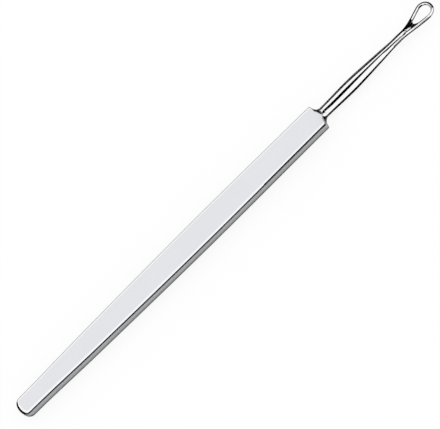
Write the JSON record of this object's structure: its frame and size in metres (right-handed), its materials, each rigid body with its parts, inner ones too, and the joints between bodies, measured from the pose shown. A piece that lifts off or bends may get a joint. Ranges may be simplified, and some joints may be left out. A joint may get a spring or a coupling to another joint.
{
  "type": "ear curette",
  "caption": "Slim ear curette: flat steel handle with a rounded butt, tapering round shank, and a teardrop wire loop brazed into its forked tip.",
  "frame": {"origin": "middle of the tool's length and width, on the handle's back face", "axes": "+X along the tool from the butt to the wire loop, +Y across the handle towards the side that the loop leans to, +Z out of the handle's front face"},
  "size_m": [0.145, 0.0072, 0.0034],
  "materials": {
    "handle_steel": "stainless steel bar, finely satined and then buffed, bright edges",
    "polished_steel": "stainless steel, mirror polished, not plated",
    "silver_braze": "silver braze, polished flush with the steel"
  },
  "bodies": {
    "root": {"handle": "handle_steel", "shank": "polished_steel", "loop_wire": "polished_steel", "socket_braze": "silver_braze", "tip_braze": "silver_braze"}
  },
  "joints": []
}
